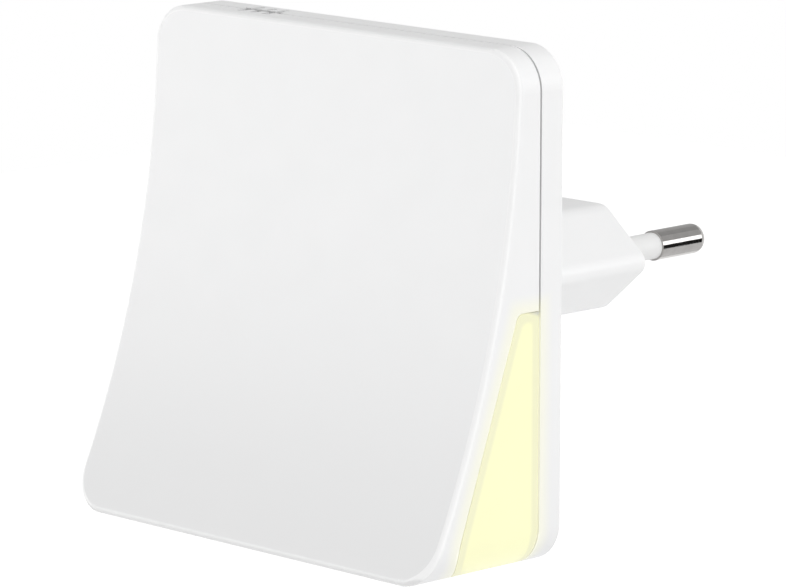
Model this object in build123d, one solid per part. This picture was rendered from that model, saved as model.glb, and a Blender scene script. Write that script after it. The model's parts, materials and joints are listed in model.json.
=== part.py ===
from build123d import *
import os
from math import atan2, cos, degrees, radians, sin, sqrt, tan

# Plug-in night light on a flat two-pin mains plug.
#
# Millimetres. The origin is the centre of the plug's end face, between the pins, where that
# face meets the wall socket. +Y runs into the wall, -Y into the room, +Z is up and +X is to
# the right for someone who faces the light. A "depth" below is a distance from the plug's
# end face towards the room, so depth 10 is the plane Y = -10.

# ---------------------------------------------------------------- housing
HOUSING_WIDTH = 65.8
HOUSING_HEIGHT = 64.5
HOUSING_CORNER = 5.2          # corner radius of the square outline
PLUG_ABOVE_BOTTOM = 31.8      # plug axis above the housing's underside
DEPTH_AT_TOP = 7.8            # housing thickness along its top edge
DEPTH_AT_BOTTOM = 23.5        # housing thickness along its bottom edge
REAR_DEPTH = 4.04             # back of the housing to the parting line
WALL = 1.8                    # shell wall
SEAM_GAP = 0.3                # open joint between the two shells
FRONT_EDGE = 0.7              # rounding round the hollow front face
BACK_EDGE = 0.4               # rounding round the back face
LIP_HEIGHT = 1.0              # rear shell's tongue, ahead of the parting line
LIP_THICKNESS = 1.0
LIP_CLEARANCE = 0.1
LIP_ABOVE_WINDOW = 3.0        # the tongue stops this far above the window
INNER_CORNER = 0.4            # smallest radius of an inner corner

# ---------------------------------------------------------------- light window
WINDOW_HEIGHT = 32.4          # top of the window above the underside
WINDOW_TOP_DEPTH = 7.85       # slanted front edge, at the top, ahead of the back face
WINDOW_BOTTOM_DEPTH = 19.45   # the same edge, drawn on to the level of the underside
WINDOW_CORNER = 1.2           # rounding of the window's top front corner
WINDOW_FOOT_CORNER = 4.9      # rounding of its lower front corner
WINDOW_FOOT_DROP = 1.0        # that rounding would end this far below the underside
WINDOW_GAP = 0.12             # clearance round the diffuser
FLANGE_THICKNESS = 1.2        # hidden rim that keeps the diffuser in
FLANGE_OVERLAP = 0.9          # rim past the window's edge
FLANGE_CLEARANCE = 0.2        # rim to the back of the hollow face
REFLECTOR_THICKNESS = 0.8
REFLECTOR_GAP = 0.3           # reflector to front shell, and to the diffuser
BAFFLE_HEIGHT = 2.0           # level of the light baffle above the plug axis
PEG_DIAMETER = 2.0            # pegs on the front shell that carry the reflector
PEG_SPAN = 34.0
PEG_DROP = 6.0                # pegs below the plug axis
PEG_PROUD = 1.0               # peg past the reflector
PEG_CLEARANCE = 0.15

# ---------------------------------------------------------------- light sensor
SENSOR_X = -17.0              # centre of the slots in the top face
SLOT_COUNT = 3
SLOT_PITCH = 2.25
SLOT_WIDTH = 0.9
SLOT_LENGTH = 4.6
SLOT_CENTRE_DEPTH = 3.5       # slot centres ahead of the back face
CROSS_SLOT_LENGTH = 7.2       # widened joint across the slots
CROSS_SLOT_WIDTH = 0.9
PIPE_TOP_WIDTH = 7.6
PIPE_GAP = 0.4                # light pipe to top wall, to the front shell, and to the sensor
RIB_THICKNESS = 1.0
RIB_CLEARANCE = 0.1

# ---------------------------------------------------------------- plug stem
STEM_LENGTH = 31.85           # plug end face to the back of the housing
STEM_RIDGE_WIDTH = 36.5       # across the side ridges as if sharp: 34.5 across their rounding
STEM_HEIGHT = 13.8
STEM_FLAT = 20.3              # width of its flat top and bottom, as if sharp
STEM_RIDGE = 1.75             # rounding of the side ridges
STEM_SHOULDER = 3.0           # rounding between the flats and the slanted sides
STEM_END_EDGE = 0.4
STEM_WALL = 1.8
STEM_END_WALL = 4.0

# ---------------------------------------------------------------- plug pins
PIN_SPACING = 18.6            # at the plug's end face
PIN_TIP_SPACING = 17.5        # at the pin tips
PIN_LENGTH = 19.0
PIN_DIAMETER = 4.0
PIN_BARE_LENGTH = 9.0
PIN_END_RADIUS = 1.3
PIN_CORE_DIAMETER = 2.6
SLEEVE_DIAMETER = 3.5
SLEEVE_INSET = 1.5            # sleeve let into the end wall
PIN_BOSS_DIAMETER = 7.0
PIN_BOSS_HEIGHT = 1.5
PIN_FLANGE_DIAMETER = 5.0
PIN_FLANGE_THICKNESS = 1.0
PIN_TAIL_LENGTH = 5.0         # behind the flange
PIN_FIT = 0.03                # radial play of core, sleeve and hole
RETAINER_THICKNESS = 2.2
RETAINER_PLAY = 0.2
RETAINER_FIT = 0.1
CUP_DIAMETER = 1.6            # solder cup in the pin's tail
CUP_DEPTH = 2.5

# ---------------------------------------------------------------- screws
SCREW_SHANK = 2.2
SCREW_HEAD = 4.2
SCREW_HEAD_HEIGHT = 1.2
SCREW_HEAD_ROUNDING = 0.4
SCREW_SOCKET = 1.9            # cross recess, tip to tip
SCREW_SOCKET_WIDTH = 0.5
SCREW_SOCKET_DEPTH = 0.7
SCREW_FIT = 0.03
SCREW_TIP_GAP = 0.4
HOUSING_SCREW_LENGTH = 4.0
HEAD_RECESS_DIAMETER = 4.8
HEAD_RECESS_DEPTH = 1.4
SCREW_PAD_THICKNESS = 1.2     # material under a housing screw's head
SCREW_HOLE = 2.6
BOSS_DIAMETER = 5.2
TOP_BOSS_FROM_SIDE = 6.9
TOP_BOSS_BELOW_TOP = 7.0
BOTTOM_BOSS_SPAN = 24.0
BOTTOM_BOSS_ABOVE_BOTTOM = 6.3
BOARD_SCREW_LENGTH = 3.6
BOARD_SCREW_HOLE = 2.6

# ---------------------------------------------------------------- circuit board
BOARD_WIDTH = 50.0
BOARD_THICKNESS = 1.2
BOARD_CORNER = 1.5
BOARD_STANDOFF = 1.2          # board to the rear shell's floor
BOARD_CLEARANCE = 0.6         # board to the screw bosses
POST_DIAMETER = 5.0
POST_SPAN = 42.0
UPPER_POST_HEIGHT = 12.0      # board screws above the plug axis
LOWER_POST_DROP = 17.0        # locating pegs below the plug axis
LOCATING_PEG = 1.8
LOCATING_FIT = 0.1
LEAD_FIT = 0.1                # radial play of a lead in its board hole
LEAD_STUB = 0.8               # lead end past the board

# ---------------------------------------------------------------- parts on the board
CAPACITOR_WIDTH = 13.0
CAPACITOR_THICKNESS = 5.0
CAPACITOR_HEIGHT = 11.0
CAPACITOR_X = -4.5
CAPACITOR_PITCH = 10.0
CAPACITOR_LEAD = 0.6
CAPACITOR_CORNER = 0.5
CAN_DIAMETER = 6.3
CAN_HEIGHT = 11.0
CAN_X = 5.9
CAN_PITCH = 2.5
CAN_LEAD = 0.5
CAN_GROOVE = 0.35             # radius of the rolled groove and of the can's end
CAN_GROOVE_RISE = 1.6         # groove above the can's sealed end
PART_LIFT = 0.4               # leaded parts stand this far off the board
RESISTOR_DIAMETER = 3.2
RESISTOR_LENGTH = 9.0
RESISTOR_PITCH = 13.0
RESISTOR_LEAD = 0.7
RESISTOR_ROUNDING = 0.8
RESISTOR_ABOVE_EDGE = 5.3     # axis above the lower edge of the board
BRIDGE_WIDTH = 4.7
BRIDGE_LENGTH = 3.9
BRIDGE_HEIGHT = 2.4
BRIDGE_DROP = 7.0
BRIDGE_PITCH = 2.5
BRIDGE_LEG_WIDTH = 0.6
CASE_LIFT = 0.1               # moulded parts stand this far off the board
CASE_CHAMFER = 0.15
LEG_THICKNESS = 0.2
LEG_REACH = 0.7               # leg past its case
LEG_ROOT = 0.3                # leg inside its case
CHIP_LENGTH = 3.2
CHIP_WIDTH = 1.6
CHIP_HEIGHT = 0.6
CHIP_CAP = 0.5
CHIP_CAP_RISE = 0.06          # end caps above the middle
BLEED_X = -4.0
BLEED_HEIGHT = 10.0
BIAS_X = -17.0
BIAS_BELOW_EDGE = 7.4         # under the board's top edge
LED_RESISTOR_SPAN = 24.0
LED_RESISTOR_DROP = 12.0
ZENER_LENGTH = 2.7
ZENER_WIDTH = 1.6
ZENER_HEIGHT = 1.1
ZENER_LEG_WIDTH = 0.6
ZENER_X = 8.0
ZENER_DROP = 7.0
TRANSISTOR_LENGTH = 2.9
TRANSISTOR_WIDTH = 1.3
TRANSISTOR_HEIGHT = 1.0
TRANSISTOR_PITCH = 1.9
TRANSISTOR_LEG_WIDTH = 0.45
TRANSISTOR_X = -8.0
TRANSISTOR_DROP = 7.0
SENSOR_WIDTH = 3.0
SENSOR_HEIGHT = 2.4
SENSOR_THICKNESS = 1.1
SENSOR_LENS = 1.0
LED_WIDTH = 2.8
LED_LENGTH = 3.5
LED_HEIGHT = 0.8
LED_SPAN = 42.0
UPPER_LED_DROP = 4.0
LOWER_LED_DROP = 11.5
LED_RECESS = 0.25
LED_RIM = 0.4

# ---------------------------------------------------------------- lead wires
WIRE_DIAMETER = 1.4
CONDUCTOR_DIAMETER = 0.8
WIRE_SPAN = 25.2              # between the two wires at the board
WIRE_BARE = 1.0               # stripped end between the jacket and the cup or board
WIRE_STRAIGHT = 2.5           # straight run out of the cup
WIRE_CLEAR = 2.0              # the wire is in line with its hole this far before the capacitor
WIRE_BEND_RADIUS = 5.0

# ---------------------------------------------------------------- worked out
BACK = STEM_LENGTH                                   # depth of the housing's back face
FLOOR = BACK + WALL                                  # depth of the rear shell's inner floor
SEAM = BACK + REAR_DEPTH
BOTTOM_Z = -PLUG_ABOVE_BOTTOM
TOP_Z = BOTTOM_Z + HOUSING_HEIGHT
HOUSING_CENTRE_Z = (TOP_Z + BOTTOM_Z) / 2
WINDOW_TOP_Z = BOTTOM_Z + WINDOW_HEIGHT
DEEPEST = BACK + DEPTH_AT_BOTTOM
FACE_RISE = DEPTH_AT_BOTTOM - DEPTH_AT_TOP
FACE_RADIUS = (HOUSING_HEIGHT**2 + FACE_RISE**2) / (2 * FACE_RISE)
FACE_AXIS_DEPTH = BACK + DEPTH_AT_TOP + FACE_RADIUS  # the face's arc starts upright at the top
FLANGE_INSET = WALL + WINDOW_GAP
FLANGE_INNER = FLANGE_INSET + FLANGE_THICKNESS
PIN_LEAN = degrees(atan2((PIN_SPACING - PIN_TIP_SPACING) / 2, PIN_LENGTH))
PIN_SEAT = STEM_END_WALL + PIN_BOSS_HEIGHT           # along the pin, end face to flange
PIN_TAIL_END = PIN_SEAT + PIN_FLANGE_THICKNESS + PIN_TAIL_LENGTH
SLEEVE_END = PIN_LENGTH - PIN_BARE_LENGTH
RETAINER_DEPTH = PIN_SEAT + PIN_FLANGE_THICKNESS + RETAINER_PLAY
TOP_BOSS_SPAN = HOUSING_WIDTH - 2 * TOP_BOSS_FROM_SIDE
TOP_BOSS_Z = TOP_Z - TOP_BOSS_BELOW_TOP
BOTTOM_BOSS_Z = BOTTOM_Z + BOTTOM_BOSS_ABOVE_BOTTOM
SCREW_SEAT = BACK + HEAD_RECESS_DEPTH
PAD_TOP = SCREW_SEAT + SCREW_PAD_THICKNESS
PIPE_THICKNESS = DEPTH_AT_TOP - 2 * WALL - PIPE_GAP
BOARD_BACK = FLOOR + BOARD_STANDOFF
BOARD_FRONT = BOARD_BACK + BOARD_THICKNESS
BOARD_TOP_Z = TOP_BOSS_Z - BOSS_DIAMETER / 2 - BOARD_CLEARANCE
BOARD_BOTTOM_Z = BOTTOM_BOSS_Z + BOSS_DIAMETER / 2 + BOARD_CLEARANCE
PIPE_TOP_Z = TOP_Z - WALL - PIPE_GAP
PIPE_BOTTOM_Z = BOARD_TOP_Z + SENSOR_LENS / 2 + PIPE_GAP
HOUSING_SCREWS = [
    (side * span / 2, z)
    for span, z in ((TOP_BOSS_SPAN, TOP_BOSS_Z), (BOTTOM_BOSS_SPAN, BOTTOM_BOSS_Z))
    for side in (-1, 1)
]
BOARD_SCREWS = [(side * POST_SPAN / 2, UPPER_POST_HEIGHT) for side in (-1, 1)]
LOCATING_PEGS = [(side * POST_SPAN / 2, -LOWER_POST_DROP) for side in (-1, 1)]
REFLECTOR_PEGS = [(side * PEG_SPAN / 2, -PEG_DROP) for side in (-1, 1)]
CAPACITOR_LEADS = [(CAPACITOR_X + side * CAPACITOR_PITCH / 2, 0) for side in (-1, 1)]
CAN_LEADS = [(CAN_X + side * CAN_PITCH / 2, 0) for side in (-1, 1)]
RESISTOR_Z = BOARD_BOTTOM_Z + RESISTOR_ABOVE_EDGE
RESISTOR_LEADS = [(side * RESISTOR_PITCH / 2, RESISTOR_Z) for side in (-1, 1)]
WIRE_ENDS = [(side * WIRE_SPAN / 2, 0) for side in (-1, 1)]


# ---------------------------------------------------------------- building blocks
def at_depth(depth):
    """Plane parallel to the wall at this depth: its x is X, its y is Z, it faces the room."""
    return Plane.XZ.offset(depth)


def rod(x, z, start, end, diameter):
    """Round bar square to the wall, from one depth to another."""
    return extrude(at_depth(start) * Pos(x, z) * Circle(diameter / 2), end - start)


def block(x, z, start, width, height, thickness):
    """Box with its centre at x, z that stands off the plane at `start` towards the room."""
    return extrude(at_depth(start) * Pos(x, z) * Rectangle(width, height), thickness)


def housing_block(inset, start, end):
    """The housing's square outline, pulled in by `inset`, as a block between two depths."""
    outline = RectangleRounded(
        HOUSING_WIDTH - 2 * inset, HOUSING_HEIGHT - 2 * inset, max(HOUSING_CORNER - inset, INNER_CORNER)
    )
    return extrude(at_depth(start) * Pos(0, HOUSING_CENTRE_Z) * outline, end - start)


def face_roller(inset):
    """Cylinder whose flank is the hollow front face, moved back by `inset`."""
    flank = Circle(FACE_RADIUS + inset)
    section = Plane.YZ * Pos(-FACE_AXIS_DEPTH, TOP_Z) * flank
    return extrude(section, HOUSING_WIDTH, both=True)


def window_prism(grow, rear):
    """The window as seen from the side, its top, front and foot moved out by `grow`."""
    slope = (WINDOW_BOTTOM_DEPTH - WINDOW_TOP_DEPTH) / WINDOW_HEIGHT
    sideways = grow * sqrt(1 + slope**2)
    top = WINDOW_HEIGHT + grow
    foot = -WINDOW_FOOT_DROP - grow

    def corner(height):
        depth = WINDOW_TOP_DEPTH + slope * (WINDOW_HEIGHT - height) + sideways
        return (-BACK - depth, BOTTOM_Z + height)

    outline = Polygon(
        (-BACK - rear, BOTTOM_Z + foot), (-BACK - rear, BOTTOM_Z + top), corner(top), corner(foot),
        align=None,
    )
    for height, radius in ((top, WINDOW_CORNER), (foot, WINDOW_FOOT_CORNER)):
        near = outline.vertices().sort_by_distance(Vector(*corner(height), 0))[0]
        outline = fillet(near, radius + grow)
    return extrude(Plane.YZ * outline, HOUSING_WIDTH, both=True)


def stem_outline(inset):
    """Flattened hexagon of the plug stem, every side moved in by `inset`."""
    half_width, half_height, half_flat = STEM_RIDGE_WIDTH / 2, STEM_HEIGHT / 2, STEM_FLAT / 2
    slant = atan2(half_width - half_flat, half_height)
    width = half_width - inset / cos(slant)
    height = half_height - inset
    flat = width - height * tan(slant)
    points = [
        (width, 0), (flat, height), (-flat, height),
        (-width, 0), (-flat, -height), (flat, -height),
    ]
    outline = Polygon(*points, align=None)
    ridges = outline.vertices().filter_by(lambda vertex: abs(vertex.Y) < INNER_CORNER)
    outline = fillet(ridges, max(STEM_RIDGE - inset, INNER_CORNER))
    shoulders = outline.vertices().filter_by(lambda vertex: abs(vertex.Y) > height - INNER_CORNER)
    return fillet(shoulders, max(STEM_SHOULDER - inset, INNER_CORNER))


def pin_frame(side):
    """Frame on a pin's axis at the end face; its z runs out along the pin."""
    lean = radians(PIN_LEAN)
    return Plane(
        origin=(side * PIN_SPACING / 2, 0, 0),
        x_dir=(cos(lean), side * sin(lean), 0),
        z_dir=(-side * sin(lean), cos(lean), 0),
    )


def along_pin(side, start, end, diameter):
    """Round bar on a pin's axis between two distances from the end face."""
    return pin_frame(side) * Pos(0, 0, start) * extrude(Circle(diameter / 2), end - start)


def inner_face_depth(z):
    """Depth of the front shell's inner face at height z."""
    return FACE_AXIS_DEPTH - sqrt((FACE_RADIUS + WALL) ** 2 - (TOP_Z - z) ** 2)


def sensor_slots():
    """Cutters for the slots in the top face and the widened joint across them."""
    middle = TOP_Z - WALL / 2
    cutters = Part()
    for index in range(SLOT_COUNT):
        x = SENSOR_X + (index - (SLOT_COUNT - 1) / 2) * SLOT_PITCH
        slot = Pos(x, -BACK - SLOT_CENTRE_DEPTH, middle) * SlotOverall(
            SLOT_LENGTH, SLOT_WIDTH, rotation=90
        )
        cutters += extrude(slot, WALL, both=True)
    cross_y = CROSS_SLOT_WIDTH / 2 - SEAM
    cross = Pos(SENSOR_X, cross_y, middle) * Rectangle(CROSS_SLOT_LENGTH, CROSS_SLOT_WIDTH)
    return cutters + extrude(cross, WALL, both=True)


# ---------------------------------------------------------------- shells
def into_front_wall(post):
    """A post that is cut off half way through the wall of the hollow front face."""
    return post - face_roller(WALL / 2)


def front_cover():
    """Front shell: hollow face, side walls, open notch for the diffuser, bosses and pegs."""
    start = SEAM + SEAM_GAP / 2
    body = housing_block(0, start, DEEPEST) - face_roller(0)
    curved = [
        face for face in body.faces().filter_by(GeomType.CYLINDER)
        if abs(face.radius) > FACE_RADIUS / 2
    ]
    body = fillet(curved[0].edges(), FRONT_EDGE)
    cavity = housing_block(WALL, BACK, DEEPEST) - face_roller(WALL)
    body = body - cavity - window_prism(0, 0) - sensor_slots()
    for x, z in HOUSING_SCREWS:
        body += into_front_wall(rod(x, z, PAD_TOP, DEEPEST, BOSS_DIAMETER))
        body -= rod(
            x, z, PAD_TOP, SCREW_SEAT + HOUSING_SCREW_LENGTH + SCREW_TIP_GAP,
            SCREW_SHANK + 2 * SCREW_FIT,
        )
    for x, z in REFLECTOR_PEGS:
        tip = inner_face_depth(z) - REFLECTOR_GAP - REFLECTOR_THICKNESS - PEG_PROUD
        body += into_front_wall(rod(x, z, tip, DEEPEST, PEG_DIAMETER))
    return body


def lip():
    """Tongue of the rear shell that closes the joint from inside, above the window."""
    outer = WALL + LIP_CLEARANCE
    inner = outer + LIP_THICKNESS
    root = housing_block(WALL / 2, FLOOR, SEAM - SEAM_GAP / 2) - housing_block(inner, BACK, SEAM)
    tongue = housing_block(outer, FLOOR, SEAM + LIP_HEIGHT) - housing_block(inner, BACK, DEEPEST)
    low = WINDOW_TOP_Z + LIP_ABOVE_WINDOW
    upper = block(0, (low + TOP_Z) / 2, BACK, HOUSING_WIDTH, TOP_Z - low, DEPTH_AT_BOTTOM)
    pocket_width = PIPE_TOP_WIDTH + 2 * RIB_CLEARANCE
    pocket_height = 2 * (TOP_Z - WALL - BOARD_TOP_Z)
    pocket = block(SENSOR_X, BOARD_TOP_Z, FLOOR, pocket_width, pocket_height, DEPTH_AT_BOTTOM)
    return ((root + tongue) & upper) - pocket


def pipe_ribs():
    """Two ribs on the rear shell's floor that hold the light pipe between them."""
    offset = PIPE_TOP_WIDTH / 2 + RIB_CLEARANCE + RIB_THICKNESS / 2
    length = (PIPE_TOP_Z - PIPE_BOTTOM_Z) / 2
    z = PIPE_TOP_Z - length / 2
    ribs = Part()
    for side in (-1, 1):
        x = SENSOR_X + side * offset
        ribs += block(x, z, FLOOR, RIB_THICKNESS, length, PIPE_THICKNESS / 2)
    return ribs


def rear_cover():
    """Rear shell with the hollow plug stem, screw pads, board posts and pin bosses."""
    shell = housing_block(0, BACK, SEAM - SEAM_GAP / 2)
    shell = fillet(shell.faces().sort_by(Axis.Y)[-1].edges(), BACK_EDGE)
    stem = extrude(Plane.XZ * stem_outline(0), BACK + WALL / 2)
    stem = fillet(stem.faces().sort_by(Axis.Y)[-1].edges(), STEM_END_EDGE)
    body = shell + stem - housing_block(WALL, FLOOR, DEEPEST)
    body -= extrude(at_depth(STEM_END_WALL) * stem_outline(STEM_WALL), BACK)
    body = body + lip() + pipe_ribs() - sensor_slots()
    for x, z in HOUSING_SCREWS:
        body += rod(x, z, BACK + BACK_EDGE, PAD_TOP, BOSS_DIAMETER + WALL)
        body -= rod(x, z, 0, SCREW_SEAT, HEAD_RECESS_DIAMETER)
        body -= rod(x, z, 0, PAD_TOP, SCREW_HOLE)
    for x, z in BOARD_SCREWS:
        body += rod(x, z, FLOOR, BOARD_BACK, POST_DIAMETER)
        tip = BOARD_FRONT - BOARD_SCREW_LENGTH - SCREW_TIP_GAP
        body -= rod(x, z, tip, BOARD_BACK, SCREW_SHANK + 2 * SCREW_FIT)
    for x, z in LOCATING_PEGS:
        body += rod(x, z, FLOOR, BOARD_BACK, POST_DIAMETER)
        body += rod(x, z, FLOOR, BOARD_FRONT + LEAD_STUB, LOCATING_PEG)
    for side in (-1, 1):
        body += along_pin(side, -PIN_SEAT, -STEM_END_WALL / 2, PIN_BOSS_DIAMETER)
        body -= along_pin(side, -PIN_SEAT, PIN_LENGTH, PIN_CORE_DIAMETER + 2 * PIN_FIT)
        body -= along_pin(side, -SLEEVE_INSET, PIN_LENGTH, SLEEVE_DIAMETER + 2 * PIN_FIT)
    return body


# ---------------------------------------------------------------- light pieces
def light_diffuser():
    """Milky U that fills both side windows and the underside, with a hidden rim."""
    rear = REAR_DEPTH + SEAM_GAP / 2
    start = BACK + rear
    pane = housing_block(0, start, DEEPEST) - housing_block(FLANGE_INNER, BACK, DEEPEST)
    rim = housing_block(FLANGE_INSET, start, DEEPEST) - housing_block(FLANGE_INNER, BACK, DEEPEST)
    rim = (rim & window_prism(FLANGE_OVERLAP, rear)) - face_roller(WALL + FLANGE_CLEARANCE)
    return (pane & window_prism(-WINDOW_GAP, rear)) + rim


def light_reflector():
    """White sheet behind the lower front face, with a baffle that shades the light sensor."""
    outer = WALL + REFLECTOR_GAP
    inner = outer + REFLECTOR_THICKNESS
    room = housing_block(FLANGE_INNER + REFLECTOR_GAP, BOARD_FRONT + REFLECTOR_GAP, DEEPEST)
    high = BAFFLE_HEIGHT + REFLECTOR_THICKNESS
    lower = block(0, (BOTTOM_Z + high) / 2, BACK, HOUSING_WIDTH, high - BOTTOM_Z, DEPTH_AT_BOTTOM)
    level = BAFFLE_HEIGHT + REFLECTOR_THICKNESS / 2
    baffle = block(0, level, BACK, HOUSING_WIDTH, REFLECTOR_THICKNESS, DEPTH_AT_BOTTOM)
    sheet = (lower & face_roller(inner)) + baffle - face_roller(outer)
    sheet = sheet & room
    for x, z in HOUSING_SCREWS:
        sheet -= rod(x, z, BACK, DEEPEST, BOSS_DIAMETER + 2 * REFLECTOR_GAP)
    for x, z in REFLECTOR_PEGS:
        sheet -= rod(x, z, BACK, DEEPEST, PEG_DIAMETER + 2 * PEG_CLEARANCE)
    return sheet


def light_pipe():
    """Clear tapered bar that brings daylight from the slots down to the sensor."""
    half_top, half_bottom = PIPE_TOP_WIDTH / 2, SENSOR_WIDTH / 2
    middle = (PIPE_TOP_Z + PIPE_BOTTOM_Z) / 2
    points = [
        (SENSOR_X + half_top, PIPE_TOP_Z),
        (SENSOR_X - half_top, PIPE_TOP_Z),
        (SENSOR_X - half_top, middle),
        (SENSOR_X - half_bottom, PIPE_BOTTOM_Z),
        (SENSOR_X + half_bottom, PIPE_BOTTOM_Z),
        (SENSOR_X + half_top, middle),
    ]
    return extrude(at_depth(FLOOR) * Polygon(*points, align=None), PIPE_THICKNESS)


def light_emitting_diode(x, z):
    """Surface-mount lamp: white frame with a shallow recess for the phosphor."""
    frame = block(x, z, BOARD_FRONT, LED_LENGTH, LED_WIDTH, LED_HEIGHT)
    opening = block(
        x, z, BOARD_FRONT + LED_HEIGHT - LED_RECESS,
        LED_LENGTH - 2 * LED_RIM, LED_WIDTH - 2 * LED_RIM, LED_RECESS,
    )
    return frame - opening


# ---------------------------------------------------------------- plug pieces
def plug_pin(side):
    """Round pin: bare rounded tip, thin core through the end wall, flange and solder cup."""
    tip = along_pin(side, SLEEVE_END, PIN_LENGTH, PIN_DIAMETER)
    end_edge = tip.edges().sort_by(Axis.Y)[-1]
    tip = fillet(end_edge, PIN_END_RADIUS)
    core = along_pin(side, -PIN_TAIL_END, SLEEVE_END + PIN_END_RADIUS, PIN_CORE_DIAMETER)
    flange = along_pin(
        side, -PIN_SEAT - PIN_FLANGE_THICKNESS, -PIN_SEAT, PIN_FLANGE_DIAMETER
    )
    cup = along_pin(side, -PIN_TAIL_END, -PIN_TAIL_END + CUP_DEPTH, CUP_DIAMETER)
    return tip + core + flange - cup


def pin_sleeve(side):
    """Insulating sleeve on the root of a pin, let into the end wall."""
    tube = along_pin(side, -SLEEVE_INSET, SLEEVE_END, SLEEVE_DIAMETER)
    return tube - along_pin(side, -SLEEVE_INSET, SLEEVE_END, PIN_CORE_DIAMETER + 2 * PIN_FIT)


def pin_retainer():
    """Plate pressed into the stem behind the pin flanges."""
    outline = stem_outline(STEM_WALL + RETAINER_FIT)
    plate = extrude(at_depth(RETAINER_DEPTH) * outline, RETAINER_THICKNESS)
    for side in (-1, 1):
        plate -= along_pin(side, -PIN_TAIL_END, 0, PIN_CORE_DIAMETER + 2 * RETAINER_PLAY)
    return plate


def lead_wire(side):
    """Insulated wire from a pin's solder cup down the stem to the board."""
    cup_point = pin_frame(side) * Pos(0, 0, CUP_DEPTH / 2 - PIN_TAIL_END)
    start = cup_point.position
    board_x = side * WIRE_SPAN / 2
    bare_start = PIN_TAIL_END + WIRE_BARE
    bare_end = BOARD_BACK - WIRE_BARE
    in_line = BOARD_BACK - PART_LIFT - CAPACITOR_HEIGHT - WIRE_CLEAR
    route = [
        (start.X, start.Y, 0),
        (start.X, -PIN_TAIL_END - WIRE_STRAIGHT, 0),
        (board_x, -in_line, 0),
        (board_x, -BOARD_FRONT - LEAD_STUB, 0),
    ]
    line = FilletPolyline(*route, radius=WIRE_BEND_RADIUS)
    section = Plane(origin=route[0], z_dir=(0, -1, 0))
    conductor = sweep(section * Circle(CONDUCTOR_DIAMETER / 2), path=line)
    jacket = sweep(section * Circle(WIRE_DIAMETER / 2), path=line)
    clear = block(0, 0, bare_start, STEM_RIDGE_WIDTH, STEM_HEIGHT, bare_end - bare_start)
    return conductor + (jacket & clear)


# ---------------------------------------------------------------- circuit board and its parts
def circuit_board():
    """Board with holes for its screws, locating pegs and leads."""
    height = BOARD_TOP_Z - BOARD_BOTTOM_Z
    centre = (BOARD_TOP_Z + BOARD_BOTTOM_Z) / 2
    outline = Pos(0, centre) * RectangleRounded(BOARD_WIDTH, height, BOARD_CORNER)
    board = extrude(at_depth(BOARD_BACK) * outline, BOARD_THICKNESS)
    holes = [
        (BOARD_SCREWS, BOARD_SCREW_HOLE),
        (LOCATING_PEGS, LOCATING_PEG + 2 * LOCATING_FIT),
        (CAPACITOR_LEADS, CAPACITOR_LEAD + 2 * LEAD_FIT),
        (CAN_LEADS, CAN_LEAD + 2 * LEAD_FIT),
        (RESISTOR_LEADS, RESISTOR_LEAD + 2 * LEAD_FIT),
        (WIRE_ENDS, CONDUCTOR_DIAMETER + 2 * LEAD_FIT),
    ]
    for places, diameter in holes:
        for x, z in places:
            board -= rod(x, z, BOARD_BACK, BOARD_FRONT, diameter)
    return board


def dropper_capacitor():
    """Boxed film capacitor that stands off the board's back into the stem."""
    end = BOARD_BACK - PART_LIFT
    case = block(
        CAPACITOR_X, 0, end - CAPACITOR_HEIGHT,
        CAPACITOR_WIDTH, CAPACITOR_THICKNESS, CAPACITOR_HEIGHT,
    )
    case = fillet(case.edges().filter_by(Axis.Y), CAPACITOR_CORNER)
    for x, z in CAPACITOR_LEADS:
        case += rod(x, z, end - CAPACITOR_CORNER, BOARD_FRONT + LEAD_STUB, CAPACITOR_LEAD)
    return case


def smoothing_capacitor():
    """Electrolytic can in the stem, with its rolled groove and two leads."""
    end = BOARD_BACK - PART_LIFT
    can = rod(CAN_X, 0, end - CAN_HEIGHT, end, CAN_DIAMETER)
    can = fillet(can.edges().sort_by(Axis.Y)[-1], CAN_GROOVE)
    ring = Rot(90, 0, 0) * Torus(CAN_DIAMETER / 2, CAN_GROOVE)
    can -= Pos(CAN_X, CAN_GROOVE_RISE - end, 0) * ring
    for x, z in CAN_LEADS:
        can += rod(x, z, end - CAN_GROOVE, BOARD_FRONT + LEAD_STUB, CAN_LEAD)
    return can


def fusible_resistor():
    """Axial resistor lying on the board's front, its leads bent down into the board."""
    axis_depth = BOARD_FRONT + PART_LIFT + RESISTOR_DIAMETER / 2
    ends = RESISTOR_LEADS[0][0], RESISTOR_LEADS[1][0]
    centre = Pos(0, -axis_depth, RESISTOR_Z) * Rot(0, 90, 0)
    body = centre * Cylinder(RESISTOR_DIAMETER / 2, RESISTOR_LENGTH)
    body = fillet(body.edges().filter_by(GeomType.CIRCLE), RESISTOR_ROUNDING)
    body += centre * Cylinder(RESISTOR_LEAD / 2, ends[1] - ends[0])
    for x, z in RESISTOR_LEADS:
        body += rod(x, z, BOARD_BACK - LEAD_STUB, axis_depth, RESISTOR_LEAD)
        body += Pos(x, -axis_depth, z) * Sphere(RESISTOR_LEAD / 2)
    return body


def chip_resistor(x, z):
    """Flat chip resistor with slightly raised end caps."""
    chip = block(x, z, BOARD_FRONT, CHIP_LENGTH, CHIP_WIDTH, CHIP_HEIGHT)
    middle = block(
        x, z, BOARD_FRONT + CHIP_HEIGHT - CHIP_CAP_RISE,
        CHIP_LENGTH - 2 * CHIP_CAP, CHIP_WIDTH, CHIP_HEIGHT,
    )
    return chip - middle


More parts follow.
